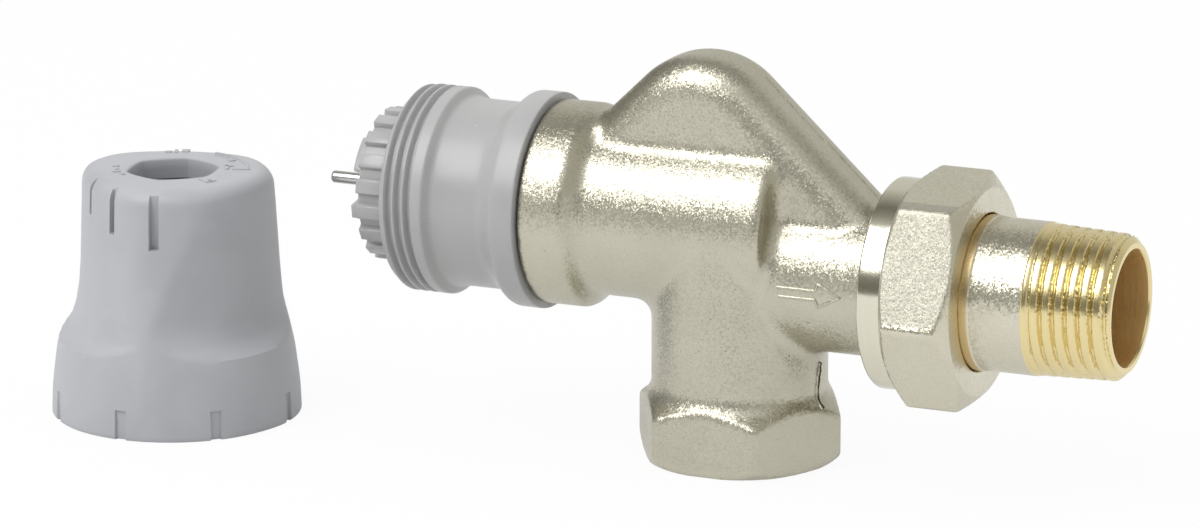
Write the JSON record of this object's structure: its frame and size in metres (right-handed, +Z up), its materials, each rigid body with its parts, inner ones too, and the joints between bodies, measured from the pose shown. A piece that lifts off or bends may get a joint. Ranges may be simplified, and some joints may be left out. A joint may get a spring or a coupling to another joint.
{
  "type": "two-way control valve body",
  "caption": "Nickel-plated axial radiator valve with presetting ring, union nut and threaded tail, and its loose screw cap.",
  "frame": {"origin": "centre of the inlet mouth, on the face that the valve stands on", "axes": "+Z up along the inlet, +X along the outlet, -Y towards the viewer"},
  "size_m": [0.1611, 0.0465, 0.0585],
  "materials": {
    "plated_brass": "nickel plated, blasted",
    "bare_brass": "machined",
    "tail_brass": "half plated, bare thread",
    "stainless": "drawn",
    "grey_sleeve": "satin moulded",
    "grey_ring": "satin moulded",
    "grey_cap": "fine grained",
    "moulded_insert": "moulded",
    "seal_rubber": "moulded"
  },
  "bodies": {
    "body": {"valve_body": "plated_brass", "head_sleeve": "grey_sleeve", "insert_housing": "bare_brass", "housing_oring": "seal_rubber", "protective_cap": "grey_cap"},
    "preset": {"preset_ring": "grey_ring", "preset_tube": "bare_brass", "tube_oring": "seal_rubber", "throttle_sleeve": "moulded_insert", "gland_nut": "bare_brass", "gland_oring": "seal_rubber", "gland_washer": "moulded_insert", "spring_guide": "moulded_insert", "return_spring": "stainless"},
    "stem": {"stem_pin": "stainless", "spindle": "stainless", "spindle_clip": "stainless", "plug_carrier": "bare_brass", "plug_disc": "seal_rubber", "plug_nut": "bare_brass"},
    "tail": {"tailpiece": "tail_brass"},
    "nut": {"union_nut": "plated_brass"}
  },
  "joints": [
    {"name": "stem_travel", "type": "slide", "parent": "body", "child": "stem", "axis": [1, 0, 0], "range_m": [0, 0.0024], "stiffness_N_per_m": 1000, "springref_m": -0.005, "deforming": ["return_spring"]},
    {"name": "preset_turn", "type": "hinge", "parent": "body", "child": "preset", "pos_m": [-0.05, 0, 0.0345], "axis": [1, 0, 0], "range_deg": [0, 280]},
    {"name": "tail_draw", "type": "slide", "parent": "body", "child": "tail", "axis": [1, 0, 0], "range_m": [0, 0.0073]},
    {"name": "nut_turn", "type": "hinge", "parent": "tail", "child": "nut", "pos_m": [0.03, 0, 0.0279], "axis": [1, 0, 0], "range_deg": [0, 1440]}
  ],
  "couplings": [
    {"joint": "tail_draw", "follows": "nut_turn", "m_per_rad": 0.00028871}
  ]
}
